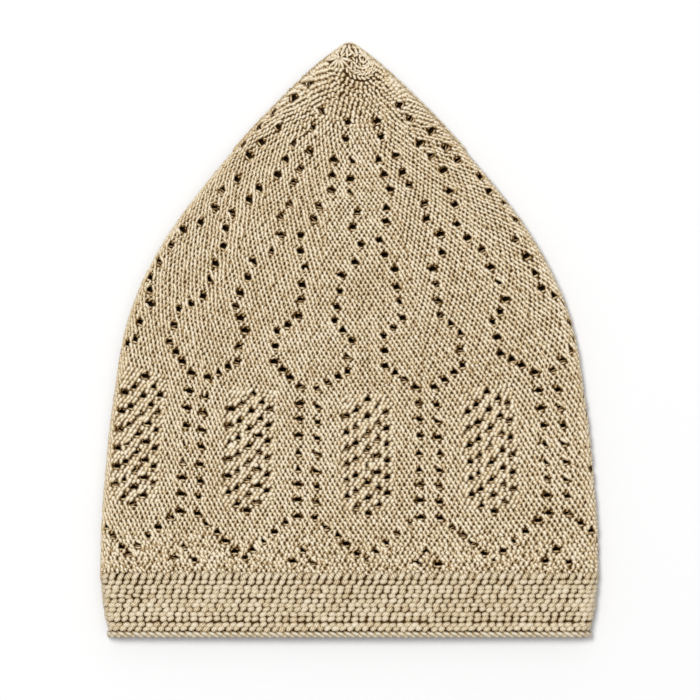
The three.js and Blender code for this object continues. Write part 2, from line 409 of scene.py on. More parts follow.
def open_eyelets(points, holes):
    """Points pushed aside so that each eyelet is clear."""
    moved = points.copy()
    for hole in zip(*holes):
        near, side, rise = near_eyelet(points, hole, 6)
        distance = np.maximum(np.hypot(side, rise), .05)
        rounded = (distance ** EYELET_SQUARENESS + 1) ** (1 / EYELET_SQUARENESS)
        push = rounded / distance - 1
        _, along, climb, _, tall = hole
        moved[near] += np.outer(side * push * EYELET_PUSH[0], along)
        moved[near] += np.outer(rise * push * EYELET_PUSH[1] * tall, climb)
    return moved


def nearest_eyelet(points, holes):
    """How many eyelet radii each point lies from the nearest eyelet."""
    nearest = np.full(len(points), 99.)
    for hole in zip(*holes):
        near, side, rise = near_eyelet(points, hole, 4)
        nearest[near] = np.minimum(nearest[near], np.hypot(side, rise))
    return nearest


def share_at_fold(normal):
    """How far the cloth has turned into a fold at each place: 0 on a layer, 1 on a fold."""
    return np.clip(1 - np.abs(normal[:, 2]) / FOLD_TURN, 0, 1)


def deselect():
    if bpy.context.object and bpy.context.object.mode != "OBJECT":
        bpy.ops.object.mode_set(mode="OBJECT")
    bpy.ops.object.select_all(action="DESELECT")


def strand(name, sides, rings, head, tail, dip):
    """One plump strand along Y, from -1 to 1, with its ends dipping. head and tail are how
    full it stays towards its upper and lower end."""
    deselect()
    bpy.ops.mesh.primitive_uv_sphere_add(segments=sides, ring_count=rings, radius=1,
                                         rotation=(math.radians(-90), 0, 0))
    piece = bpy.context.object
    piece.name = name
    bpy.ops.object.transform_apply(location=False, rotation=True, scale=False)
    for low, high, full in ((.55, .95, head), (-.95, -.55, tail)):
        select_between(piece, low, high)
        bpy.ops.transform.resize(value=(full, 1, full), center_override=(0, 0, 0))
    for low, high in ((.95, 1.1), (-1.1, -.95)):
        select_between(piece, low, high)
        bpy.ops.transform.translate(value=(0, 0, -dip))
    bpy.ops.object.mode_set(mode="OBJECT")
    return piece


def select_between(piece, low, high):
    """Selects, in edit mode, the points of a strand between two places along it."""
    bpy.ops.object.mode_set(mode="EDIT")
    bpy.ops.mesh.select_all(action="DESELECT")
    bpy.ops.object.mode_set(mode="OBJECT")
    for vertex in piece.data.vertices:
        vertex.select = low < vertex.co.y < high
    bpy.ops.object.mode_set(mode="EDIT")


def mesh_arrays(piece):
    """Vertices, and faces as corner lists with their sizes, of a modelled strand."""
    mesh = piece.data
    points = np.zeros(len(mesh.vertices) * 3)
    mesh.vertices.foreach_get("co", points)
    corners = np.zeros(len(mesh.loops), int)
    mesh.loops.foreach_get("vertex_index", corners)
    sizes = np.zeros(len(mesh.polygons), int)
    mesh.polygons.foreach_get("loop_total", sizes)
    uv = np.zeros(len(mesh.loops) * 2)
    mesh.uv_layers[0].data.foreach_get("uv", uv)
    return points.reshape(-1, 3), corners, sizes, uv.reshape(-1, 2)


def new_mesh(name, points, corners, sizes, uv, shade, deep):
    """A mesh object from arrays, with a UV map and two attributes of each point: how light
    its stitch is, and deep, how much painted shade it gets."""
    mesh = bpy.data.meshes.new(name)
    mesh.vertices.add(len(points))
    mesh.vertices.foreach_set("co", points.astype(np.float32).ravel())
    mesh.loops.add(len(corners))
    mesh.loops.foreach_set("vertex_index", corners.astype(np.int32))
    mesh.polygons.add(len(sizes))
    starts = np.concatenate([[0], np.cumsum(sizes)[:-1]])
    mesh.polygons.foreach_set("loop_start", starts.astype(np.int32))
    mesh.update(calc_edges=True)
    if mesh.validate():
        raise RuntimeError(f"{name} has faulty faces")
    mesh.uv_layers.new(name="Yarn").data.foreach_set("uv", uv.astype(np.float32).ravel())
    for key, values in (("shade", shade), ("deep", deep)):
        attribute = mesh.attributes.new(key, "FLOAT", "POINT")
        attribute.data.foreach_set("value", values.astype(np.float32))
    mesh.shade_smooth()
    piece = bpy.data.objects.new(name, mesh)
    bpy.context.scene.collection.objects.link(piece)
    return piece


def lay_strands(template, tails, heads, normals, widths, heights, rng, sunk=0, slope=0):
    """Copies of a strand from each tail to each head, as arrays for one joined mesh. sunk is
    how much more painted shade they get all over, slope how much more their tails get than their
    heads."""
    points, corners, sizes, uv = mesh_arrays(template)
    axis = (heads - tails) / 2
    side = unit(np.cross(axis, normals))
    lift = unit(np.cross(side, axis))
    middle = (heads + tails) / 2
    laid = middle[:, None] + points[None, :, :1] * (side * widths[:, None])[:, None]
    laid = laid + points[None, :, 1:2] * axis[:, None]
    laid = laid + points[None, :, 2:] * (lift * heights[:, None])[:, None]
    laid[..., 2] = np.maximum(laid[..., 2], 0)
    count = len(tails)
    all_corners = (corners[None] + np.arange(count)[:, None] * len(points)).ravel()
    shade = np.repeat(rng.normal(0, 1, count), len(points))
    # Painted shade: each strand is lit on top, painted darker down its sides and underneath as
    # in its neighbours' shade, and darker towards its tail where it dips under the next stitch.
    deep = .7 - .74 * points[:, 2] - slope * points[:, 1]
    deep = np.tile(np.clip(deep + sunk, -.3, 1.5), count)
    uvs = np.tile(uv, (count, 1))
    return laid.reshape(-1, 3), all_corners, np.tile(sizes, count), uvs, shade, deep


def join_arrays(parts):
    """Several sets of strand arrays as one."""
    shift = 0
    moved = []
    for points, corners, *others in parts:
        moved.append((points, corners + shift, *others))
        shift += len(points)
    return [np.concatenate(column) for column in zip(*moved)]


def ring_net(rings):
    """A net of faces through rings of points that all go once round."""
    rows, columns = rings.shape[:2]
    index = np.arange(rows * columns).reshape(rows, columns)
    right = np.roll(index, -1, 1)
    corners = np.stack([index[:-1], right[:-1], right[1:], index[1:]], -1).ravel()
    points = rings.reshape(-1, 3)
    return plain_arrays(points, corners, 4)


def plain_arrays(points, corners, size, uv=None, deep=1):
    """Arrays for a mesh of equal faces, with a pattern of its own or none."""
    sizes = np.full(len(corners) // size, size)
    uv = points[corners][:, :2] if uv is None else uv
    return points, corners, sizes, uv, np.zeros(len(points)), deep + np.zeros(len(points))


def stitch_grid(repeats, out, faces):
    """For each corner of each face, the stitch and the round that it lies on."""
    rounds = np.array(round_places())
    counts = np.interp(out, rounds[::-1], [stitch_count(place) for place in rounds[::-1]])
    corner_repeats = repeats[faces]
    turn = np.round((corner_repeats - corner_repeats[:, :1]) / REPEATS) * REPEATS
    corner_repeats = corner_repeats - turn
    own = np.floor(corner_repeats.mean(1, keepdims=True) + .5)
    stitch = (corner_repeats - own) * counts[faces]
    index = np.interp(-out, -rounds, np.arange(len(rounds)))[faces]
    return np.stack([stitch, index], -1).reshape(-1, 2)


def lace_net():
    """Triangles over the whole crown with an eight-sided hole at each eyelet, as places on a
    flat disc turned into repeats and out, and which places lie on the rim of a hole."""
    spacing = 2.5 * MM
    flat = [(0., 0.)]
    for out in np.arange(1, .012, -spacing / CROWN_LENGTH):
        count = max(6, round(round_length(out) / spacing))
        flat.extend(on_disc(np.arange(count) / count * REPEATS, np.full(count, out)))
    flat = np.array(flat)
    rims = hole_rims()
    clear = np.ones(len(flat), bool)
    for rim in rims:
        middle = rim.mean(0)
        toward = flat - middle
        near = np.flatnonzero((toward ** 2).sum(1) < .01)
        reach = np.linalg.solve(np.stack([rim[0] - middle, rim[2] - middle], 1),
                                toward[near].T)
        clear[near[np.hypot(*reach) < 1.25]] = False
    flat = flat[clear]
    rim_starts = len(flat) + HOLE_SIDES * np.arange(len(rims))
    edges = [(start + side, start + (side + 1) % HOLE_SIDES) for start in rim_starts
             for side in range(HOLE_SIDES)]
    flat = np.vstack([flat, *rims])
    made = delaunay_2d_cdt([Vector(place) for place in flat], edges, [], 0, 1e-7)
    points = np.array([tuple(place) for place in made[0]])
    source = np.array([ids[0] for ids in made[3]])
    faces = np.array([face for face in made[2]])
    rim = source >= rim_starts[0]
    hole = np.where(rim, (source - rim_starts[0]) // HOLE_SIDES, -1)[faces]
    inside = (hole[:, 0] >= 0) & (hole[:, 0] == hole[:, 1]) & (hole[:, 1] == hole[:, 2])
    repeats = np.arctan2(points[:, 1], points[:, 0]) * REPEATS / (2 * np.pi)
    return repeats, np.hypot(points[:, 0], points[:, 1]), faces[~inside], rim


def on_disc(repeats, out):
    angle = repeats * 2 * np.pi / REPEATS
    return np.stack([out * np.cos(angle), out * np.sin(angle)], -1)


def hole_rims():
    """The eight corners of each eyelet's hole, on the flat disc."""
    half_width, half_height = EYELET_HALF
    repeats, out = eyelets()
    place, along, climb, normal, tall = eyelet_frames()
    small = 1e-3
    by_repeat = np.linalg.norm(lace_point(repeats + small, out) - place, axis=1) / small
    by_out = (lace_point(repeats, out - small) - place) / small
    shear = (by_out * along).sum(1)
    rise = (by_out * climb).sum(1)
    size = np.where(normal[:, 2] > 0, 1, BACK_EYELET)
    rims = []
    for angle in np.arange(HOLE_SIDES) * 2 * np.pi / HOLE_SIDES:
        inward = size * half_height * tall * np.sin(angle) / rise
        sideways = (size * half_width * np.cos(angle) - inward * shear) / by_repeat
        rims.append(on_disc(repeats + sideways, out - inward))
    return np.stack(rims, 1)


def thicken(piece, thickness):
    """Gives an open net its wall, inwards from its outer face."""
    deselect()
    piece.select_set(True)
    bpy.context.view_layer.objects.active = piece
    wall = piece.modifiers.new("Wall", "SOLIDIFY")
    wall.thickness = thickness
    wall.offset = -1
    # The inner face and rims take a piece's second material where it has one: the crown's hollow
    # wall, in painted shade.
    wall.material_offset = 1
    wall.material_offset_rim = 1
    bpy.ops.object.modifier_apply(modifier=wall.name)


def remove(*templates):
    for template in templates:
        bpy.data.meshes.remove(template.data)


class Value:
    """A socket of a material, with Python's arithmetic on it."""

    def __init__(self, nodes, socket):
        self.nodes = nodes
        self.socket = socket

    def maths(self, operation, first, second):
        return self.nodes.add("ShaderNodeMath", {"operation": operation}, {0: first, 1: second})

    def __add__(self, other):
        return self.maths("ADD", self, other)

    __radd__ = __add__

    def __sub__(self, other):
        return self.maths("SUBTRACT", self, other)

    def __rsub__(self, other):
        return self.maths("SUBTRACT", other, self)

    def __mul__(self, other):
        return self.maths("MULTIPLY", self, other)

    __rmul__ = __mul__

    def sine(self):
        return self.maths("SINE", self, 0)

    def clamped(self):
        limits = {"Min": 0, "Max": 1}
        return self.nodes.add("ShaderNodeClamp", {}, {"Value": self, **limits})


class Finish:
    """A material's nodes."""

    def __init__(self, name):
        self.material = bpy.data.materials.new(name)
        self.material.use_nodes = True
        self.tree = self.material.node_tree
        self.surface = self.tree.nodes["Principled BSDF"]

    def add(self, kind, settings, values, output=0):
        """Adds a node: its settings first, then the values or links of its sockets."""
        node = self.tree.nodes.new(kind)
        for key, value in settings.items():
            setattr(node, key, value)
        self.fill(node, values)
        return Value(self, node.outputs[output])

    def fill(self, node, values):
        for key, value in values.items():
            if isinstance(value, Value):
                self.tree.links.new(value.socket, node.inputs[key])
            else:
                node.inputs[key].default_value = value

    def yarn_map(self):
        """Both directions of the yarn's own UV map."""
        parts = self.tree.nodes.new("ShaderNodeSeparateXYZ")
        self.fill(parts, {0: self.add("ShaderNodeUVMap", {"uv_map": "Yarn"}, {})})
        return Value(self, parts.outputs[0]), Value(self, parts.outputs[1])

    def attribute(self, name):
        return self.add("ShaderNodeAttribute", {"attribute_name": name}, {}, 2)

    def noise(self, scale, detail):
        place = self.add("ShaderNodeTexCoord", {}, {}, 3)
        return self.add("ShaderNodeTexNoise", {}, {"Vector": place, "Scale": scale,
                                                   "Detail": detail})

    def bump(self, strength, distance, height):
        return self.add("ShaderNodeBump", {}, {"Strength": strength, "Distance": distance,
                                               "Height": height})

    def mix(self, share, first, second):
        settings = {"data_type": "RGBA", "clamp_factor": True}
        return self.add("ShaderNodeMix", settings, {0: share, 6: first, 7: second}, 2)


def rgba(colour):
    return (*colour, 1)


def yarn_finish(name, colours, brightness, plies, ply_shade, relief_depth, uneven):
    """Twisted cotton: plies wind round each strand with painted shade in the grooves between
    them, its sides are painted in the shade of its neighbours, and no two stitches are quite
    alike."""
    finish = Finish(name)
    round_it, along_it = finish.yarn_map()
    fibre = finish.noise(1400, 2)
    patch = finish.noise(45, 3)
    ply = ((round_it * plies[0] + along_it * plies[1]) * (2 * math.pi)).sine() * .5 + .5
    # sunk is the share of painted shade: the deep attribute's painted shade and darker grooves
    # between plies, with the yarn's own random tone.
    sunk = finish.attribute("deep") + (.5 - ply) * ply_shade
    sunk = sunk + (.5 - fibre) * .3 + (patch - .5) * .3 + finish.attribute("shade") * uneven
    # The yarn's one colour painted lit, half shaded and in deep shade, mixed by that share;
    # brightness paints a whole piece's copy darker, as painted shade.
    tones = [rgba([part * brightness for part in tone])
             for tone in (colours.light, colours.middle, colours.dark)]
    upper = finish.mix((sunk * 2).clamped(), tones[0], tones[1])
    colour = finish.mix((sunk * 2 - 1).clamped(), upper, tones[2])
    bump = finish.bump(.7, relief_depth, ply * .8 + fibre * .35)
    finish.fill(finish.surface, {
        "Base Color": colour, "Roughness": .5, "Normal": bump,
        "Sheen Weight": .1, "Sheen Roughness": .5, "Specular IOR Level": .5,
    })
    return finish.material


def ground_finish(name, colour, pit_colour, pitted):
    """Yarn deep in the cloth, painted darker as the stitches' shade, with a painted shade pit
    between each four stitches where it is pitted, and painted dark all over where it isn't."""
    finish = Finish(name)
    fibre = finish.noise(900, 2)
    if pitted:
        stitch, index = finish.yarn_map()
        between = (stitch * (2 * math.pi) + math.pi / 2).sine() * \
            (index * math.pi + math.pi / 2).sine()
        # Painted shade: the deep attribute and a pattern of spots between the stitches, painted
        # towards the pit colour.
        pit = (finish.attribute("deep") - between * 2.2 + (fibre - .5) * .8).clamped()
    else:
        # Painted shade all over: the ground is painted nearly as dark as its pits.
        pit = (.97 + (fibre - .5) * .5).clamped()
    base = finish.mix(pit, rgba(colour), rgba(pit_colour))
    bump = finish.bump(.8, .3 * MM, fibre - pit)
    finish.fill(finish.surface, {"Base Color": base, "Roughness": .85, "Normal": bump,
                                 "Specular IOR Level": 0})
    return finish.material


def flat_finish(name, colour):
    """One dull colour: the hollow's wall, which little light reaches, painted nearly black as
    painted shade, and the floor.
    """
    finish = Finish(name)
    finish.fill(finish.surface, {"Base Color": rgba(colour), "Roughness": .9,
                                 "Specular IOR Level": 0})
    return finish.material


def hand_in(piece, material, node, inside=None):
    """Gives a finished piece its material, and one for its inner face if it has its own,
    and its place in the frame."""
    piece.data.materials.clear()
    piece.data.materials.append(material)
    if inside:
        piece.data.materials.append(inside)
    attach(piece, "root")
    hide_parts(node)


class KUFI_OT_crown_ground(bpy.types.Operator):
    """Lay the cloth that the crown's stitches stand on, with its eyelets open"""
    bl_idname = "kufi.crown_ground"
    bl_label = "Crown ground"

    def execute(self, context):
        colours = context.scene.kufi_colours
        yarn = context.scene.kufi_sizes.yarn
        repeats, out, faces, rim = lace_net()
        place, _, _, normal = lace_frames(repeats, np.minimum(out, 1))
        sink = yarn * np.interp(out, (.03, .12), (.5, .72))[:, None]
        grid = stitch_grid(repeats, out, faces)
        # Painted shade on the ground: darker towards the tip, round each eyelet and darkest on
        # the rim of each hole.
        shaded_near_hole = nearest_eyelet(place, eyelet_frames()) < 1.6
        deep = np.interp(out, (.05, .13, .26), (2.2, 1.1, 0))
        deep = np.maximum(deep, np.where(rim, 1.4, .8 * shaded_near_hole))
        net = plain_arrays(place - normal * sink, faces.ravel(), 3, grid, deep)
        piece = new_mesh("crown_ground", *net)
        material = ground_finish("crown_ground_painted_shade", colours.ground, colours.pit, True)
        # The hollow's wall is painted nearly black, as painted shade.
        inside = flat_finish("inside_crown_painted_shade", colours.inside)
        hand_in(piece, material, "crown", inside)
        thicken(piece, CROWN_WALL - yarn)
        return {"FINISHED"}


class KUFI_OT_crown_stitches(bpy.types.Operator):
    """Work the crown's rounds of stitches, opened round each eyelet"""
    bl_idname = "kufi.crown_stitches"
    bl_label = "Crown stitches"

    def execute(self, context):
        sizes = context.scene.kufi_sizes
        colours = context.scene.kufi_colours
        rng = np.random.default_rng(SEED)
        holes = eyelet_frames()
        repeats, outs, pitch, rise = self.work_rounds()
        in_panel = self.find_panels(repeats, outs)
        kept = nearest_eyelet(lace_point(repeats, outs), holes) > .45 + .2 * in_panel
        repeats, outs, pitch, rise, in_panel = [
            part[kept] for part in (repeats, outs, pitch, rise, in_panel)]
        place, along, climb, normal = lace_frames(repeats, outs)
        closeness = np.exp(-nearest_eyelet(place, holes) ** 2 / 3)
        count = len(place)
        near_band = np.interp(outs, (.9, .96), (0, 1))
        near_tip = np.interp(outs, (.1, .2), (1, 0))
        stray = sizes.unevenness * (1 + near_band)[:, None]
        place = place + along * rng.normal(0, 1, (count, 1)) * stray
        place = place + climb * rng.normal(0, 1, (count, 1)) * stray
        depth = sizes.yarn * .5
        at_fold = share_at_fold(normal) * .25 * MM * np.interp(outs, (.15, .3), (2, 1))

        # The leaning strand of each stitch.
        lean = np.where(in_panel, PANEL_LEAN, STRAND_LEAN)
        lean = lean + rng.normal(0, .15, count) * np.interp(
            outs, (.05, .2, .9, .96), (2.2, 1, 1, 2.4))
        reach = np.minimum(rise, 1.1 * pitch) * rng.normal(.8, .07, count)
        reach = reach * (1 - .12 * in_panel - .2 * near_tip - .08 * near_band)
        axis = climb * np.cos(lean)[:, None] - along * np.sin(lean)[:, None]
        axis = axis * reach[:, None]
        tails, heads = [self.keep_inside(open_eyelets(place + axis * way, holes), outs)
                        for way in (-1, 1)]
        fits = nearest_eyelet((tails + heads) / 2, holes) > .8
        fits &= clear_of_tip(place)
        tails = tails - normal * (depth * 1.45 + at_fold)[:, None]
        heads = heads - normal * (depth + at_fold)[:, None]
        plump = .385 + .05 * closeness + .14 * in_panel + .04 * near_tip + .04 * near_band
        widths = pitch * plump * rng.normal(1, .08, count)
        heights = depth * rng.normal(1.1, .08, count)

        # The thinner leg behind it, left out in the panels.
        half_leg = along * (.25 * pitch)[:, None] + climb * (.5 * rise)[:, None]
        leg_middle = place - half_leg - normal * (depth * 1.55 + at_fold)[:, None]
        leg_tails, leg_heads = [open_eyelets(leg_middle + half_leg * way, holes)
                                for way in (-.95, .95)]
        leg_fits = nearest_eyelet((leg_tails + leg_heads) / 2, holes) > .95
        leg_fits &= (outs > .045) & ~in_panel
        leg_widths = pitch * rng.normal(.27, .03, count)

        template = strand("crown_strand", 4, 4, 1.25, 1.1, .25)
        leg_template = strand("crown_leg", 4, 3, 1, 1, .1)
        material = yarn_finish("crown_cotton", colours, 1, (0, 1.5), .12, .06 * MM, .1)
        repeat_of = np.floor(repeats + 4.5).astype(int) % REPEATS
        for repeat in range(REPEATS):
            own = (repeat_of == repeat) & fits
            # slope paints each strand's tail in more shade than its head; sunk paints the legs
            # behind in more shade.
            laid = lay_strands(template, tails[own], heads[own], normal[own], widths[own],
                               heights[own], rng, slope=.26)
            own = own & leg_fits
            legs = lay_strands(leg_template, leg_tails[own], leg_heads[own], normal[own],
                               leg_widths[own], heights[own], rng, sunk=.22)
            piece = new_mesh(f"crown_repeat_{repeat + 1}", *join_arrays([laid, legs]))
            hand_in(piece, material, "crown")
        remove(template, leg_template)
        self.lay_lips(holes, sizes, colours, rng)
        return {"FINISHED"}

    @staticmethod
    def find_panels(repeats, outs):
        """Which stitches lie in a panel of eyelets."""
        across = (repeats - np.round(repeats)) * REPEAT_STITCHES
        beside = np.abs(across - PANEL_MIDDLE[0]) < PANEL_REACH[0]
        return beside & (np.abs((1 - outs) * ROUNDS - PANEL_MIDDLE[1]) < PANEL_REACH[1])

    @staticmethod
    def keep_inside(ends, outs):
        """Ends of strands, drawn in where they would stand out past the outline."""
        half = look_up(CROWN_OUTLINE, "half", (ends[:, 1] - CROWN_Y) / CROWN_LENGTH)
        limit = half * HALF_WIDTH - np.interp(outs, (.25, .4), (.6, 0)) * MM
        ends[:, 0] = np.clip(ends[:, 0], -limit, limit)
        return ends

    @staticmethod
    def work_rounds():
        """Where each stitch stands, as repeats and out, with the room it has beside it and
        above it."""
        rounds = round_places()
        worked = []
        for index, out in enumerate(rounds[:-1]):
            stands = stitches_in_round(out, index)
            each = np.full(len(stands), out)
            place = lace_point(stands, each)
            gap = np.linalg.norm(place - np.roll(place, 1, 0), axis=1)
            pitch = (gap + np.roll(gap, -1)) / 2
            mean = gap.mean()
            above = lace_point(stands, each + rounds[index + 1] - out)
            rise = np.linalg.norm(above - place, axis=1)
            worked.append((stands, each, np.clip(pitch, .7 * mean, 1.6 * mean), rise))
        return [np.concatenate(column) for column in zip(*worked)]

    @staticmethod
    def lay_lips(holes, sizes, colours, rng):
        """The strands that close each eyelet below, and those that cross some of them."""
        flat_enough = np.abs(holes[3][:, 2]) > .5
        place, along, climb, normal, tall = [part[flat_enough] for part in holes]
        count = len(place)
        template = strand("lip_strand", 6, 5, 1.1, 1.1, .3)
        thick = np.full(count, sizes.yarn * .4)
        low = place - climb * (EYELET_HALF[1] * tall + .25 * MM)[:, None]
        low = low - normal * (sizes.yarn * .95)
        reach = along * (EYELET_HALF[0] * 1.05)
        # Painted shade: the lips get some, as they lie low in the eyelet.
        parts = [lay_strands(template, low - reach, low + reach, normal, thick, thick, rng,
                             .4)]
        crossed = (rng.uniform(0, 1, count) < .3) | (normal[:, 2] < 0)
        turn = rng.uniform(-.6, .6, count)[:, None]
        across = (along * np.cos(turn) + climb * np.sin(turn)) * EYELET_HALF[0] * 1.1
        front = normal[:, 2] > 0
        deep = place - normal * (sizes.yarn * 1.6) - climb * (front * .3 * MM)[:, None]
        broad = thick * np.where(front, .8, 1.4)
        # The strands that cross deep in the holes get more painted shade.
        parts.append(lay_strands(template, (deep - across)[crossed], (deep + across)[crossed],
                                 normal[crossed], broad[crossed], thick[crossed] * .8, rng, .9))
        piece = new_mesh("eyelet_lips", *join_arrays(parts))
        # The lips' copy of the yarn is painted a little darker all over, as shade.
        material = yarn_finish("lip_cotton", colours, .9, (1, 2), .2, .08 * MM, .1)
        hand_in(piece, material, "crown")
        remove(template)


class KUFI_OT_rosette(bpy.types.Operator):
    """Work the rings of chain loops that the crown starts from, and close the tip"""
    bl_idname = "kufi.rosette"
    bl_label = "Rosette"

    def execute(self, context):
        sizes = context.scene.kufi_sizes
        colours = context.scene.kufi_colours
        rng = np.random.default_rng(SEED + 1)
        template = strand("rosette_loop", 8, 6, 1.1, .95, .3)
        parts = []
        for out, loops in ROSETTE_RINGS:
            start = rng.uniform(0, 1)
            for leg in (-1, 1):
                repeats = (np.arange(loops) + start) / loops * REPEATS - 4
                outs = np.maximum(out + leg * .0027, .0005) + rng.normal(0, .0004, loops)
                place, along, climb, normal = lace_frames(repeats, np.abs(outs))
                tilt = (-.5 * leg + rng.normal(0, .12, loops))[:, None]
                half = 1.45 * MM * rng.normal(1, .08, loops)[:, None]
                axis = (along * np.cos(tilt) + climb * np.sin(tilt)) * half
                sunk = place - normal * sizes.yarn * .5
                drop = normal * sizes.yarn * .25
                width = sizes.yarn * .44 * rng.normal(1, .08, loops)
                own = clear_of_tip(place)
                parts.append(lay_strands(template, (sunk - axis - drop)[own],
                                         (sunk + axis)[own], normal[own], width[own],
                                         width[own] * 1.3, rng, slope=.3))
        parts.append(self.close_tip(template, sizes.yarn, rng))
        parts.append(self.cord_folds(template, sizes.yarn, rng))
        parts.append(self.lay_fan(template, sizes.yarn, rng))
        piece = new_mesh("crown_rosette", *join_arrays(parts))
        material = yarn_finish("rosette_cotton", colours, .97, (2, 2), .4, .12 * MM, .12)
        hand_in(piece, material, "crown")
        remove(template)
        return {"FINISHED"}

    @staticmethod
    def close_tip(template, yarn, rng):
        """Short strands side by side over the very tip, on both layers."""
        small = .004
        ends = []
        for up, count, half in TIP_ROWS:
            for front, facing in ((True, 1), (False, -1)):
                across = (np.arange(count) + .5) / count * 2 - 1
                place, above, beside = [
                    crown_point(across + step, np.full(count, front), up + rise + 0 * across)
                    for step, rise in ((0, 0), (0, small), (.02, 0))]
                climb = unit(above - place)
                normal = unit(np.cross(beside - place, climb)) * facing
                lean = rng.normal(0, .25, (count, 1))
                axis = climb * np.cos(lean) + np.cross(normal, climb) * np.sin(lean)
                sunk = place - normal * yarn * .5
                ends.append((sunk - axis * half, sunk + axis * half, normal))
        tails, heads, normals = [np.concatenate(column) for column in zip(*ends)]
        heads[:, 1] = np.minimum(heads[:, 1], CROWN_HIGH.y - .45 * MM)
        width = yarn * .55 * rng.normal(1, .08, len(tails))
        return lay_strands(template, tails, heads, normals, width, width, rng, slope=.15)

    @staticmethod
    def cord_folds(template, yarn, rng):
        """Strands end to end along both folds, which keep the outline smooth to the tip."""
        ups = np.append(np.arange(FOLD_CORD[0], .993, FOLD_CORD[1]), (.9965, .9995))
        parts = []
        for side in (-1, 1):
            spots = crown_point(np.full(len(ups), side), np.full(len(ups), True), ups)
            axis = spots[1:] - spots[:-1]
            outward = unit(np.cross((0, 0, -side), axis))
            middle = (spots[1:] + spots[:-1]) / 2 - outward * yarn * .42
            width = yarn * .5 * rng.normal(1, .04, len(axis))
            parts.append(lay_strands(template, middle - axis * .8, middle + axis * .8, outward,
                                     width, width, rng, slope=.1))
        over = crown_point(np.array([-1., 1.]), np.array([True, True]), ups[[-2, -2]])
        over[:, 0] *= .6
        over[:, 1] = CROWN_HIGH.y - yarn * .48
        width = np.array([yarn * .5])
        parts.append(lay_strands(template, over[:1], over[1:], np.array([[0., 1., 0.]]), width,
                                 width, rng))
        return join_arrays(parts)

    @staticmethod
    def lay_fan(template, yarn, rng):
        """Long strands that spread from one point, beside the ring of loops."""
        angles = np.radians(FAN_ANGLES) + rng.normal(0, .06, len(FAN_ANGLES))
        length = FAN_REACH * np.where(np.sin(angles) < 0, 1, .6)
        length = length * rng.normal(1, .08, len(angles))
        ends = []
        for reach in (.3 * MM + 0 * length, length):
            x = FAN_MIDDLE[0] + reach * np.cos(angles)
            up = (FAN_MIDDLE[1] + reach * np.sin(angles) - CROWN_Y) / CROWN_LENGTH
            half = HALF_WIDTH * look_up(CROWN_OUTLINE, "half", up)
            ends.append(crown_point(x / half, np.full(len(x), True), up))
        drop = np.array([0, 0, yarn * .35])
        width = yarn * .52 * rng.normal(1, .06, len(angles))
        facing = np.tile([0., 0., 1.], (len(angles), 1))
        return lay_strands(template, ends[0] - drop, ends[1] - drop, facing, width,
                           width * 1.4, rng)


class KUFI_OT_band(bpy.types.Operator):
    """Work the band: its ground, its rows of knobs and the slanted row that joins the crown"""
    bl_idname = "kufi.band"
    bl_label = "Band"

    def execute(self, context):
        sizes = context.scene.kufi_sizes
        colours = context.scene.kufi_colours
        rng = np.random.default_rng(SEED + 2)
        self.lay_ground(sizes, colours)
        knob = strand("band_knob", 8, 5, 1.22, 1.22, .15)
        parts = []
        for up, step, reach, slant in zip(*BAND_ROWS.values()):
            parts.append(self.knobs(knob, step, up, reach, slant, 1.12, sizes, rng))
        joining = self.knobs(knob, .62, 1, .66, .85, 1.15, sizes, rng, .32)
        joining[3][:] *= (.25, 2)
        parts.append(joining)
        piece = new_mesh("band_stitches", *join_arrays(parts))
        material = yarn_finish("band_cotton", colours, .94, (6, 3), .6, .25 * MM, .09)
        hand_in(piece, material, "band")
        remove(knob)
        return {"FINISHED"}

    @staticmethod
    def knobs(knob, step, up, reach, slant, plump, sizes, rng, sink=.46):
        """A row of knobs: slant is their lean, sink how deep they lie in knobs."""
        count = BAND_STITCHES
        turns = (np.arange(count) + step + rng.normal(0, .04, count)) / count
        place, along, climb, normal = band_frames(turns, up + rng.normal(0, .006, count))
        lean = (slant + rng.normal(0, .18, count))[:, None]
        axis = along * np.cos(lean) + climb * np.sin(lean)
        axis = axis * (reach * BAND_PITCH * rng.normal(1, .06, count))[:, None]
        at_fold = share_at_fold(normal)[:, None] * .5 * MM * plump ** 3
        sunk = place - normal * (sizes.knob * sink + at_fold)
        width = sizes.knob * .5 * plump * rng.normal(1, .06, count)
        # Each knob is painted in a little more shade all over, sunk=.12.
        return lay_strands(knob, sunk - axis, sunk + axis, normal, width,
                           sizes.knob * .45 * rng.normal(1, .05, count), rng, sunk=.12)

    @staticmethod
    def lay_ground(sizes, colours):
        """The close cloth that the knobs stand on, painted nearly as dark as the pits, as their
        shade.
        """
        sink = sizes.knob * .62
        turns = np.linspace(0, 1, BAND_STITCHES, endpoint=False)
        ups = np.linspace(0, 1, 8)
        grid = np.meshgrid(turns, ups)
        place, _, _, normal = band_frames(grid[0].ravel(), grid[1].ravel())
        sunk = (place - normal * sink).reshape(len(ups), -1, 3)
        piece = new_mesh("band_ground", *ring_net(sunk))
        thicken(piece, BAND_WALL - sink)
        material = ground_finish("band_ground_painted_shade", colours.ground, colours.pit, False)
        hand_in(piece, material, "band")


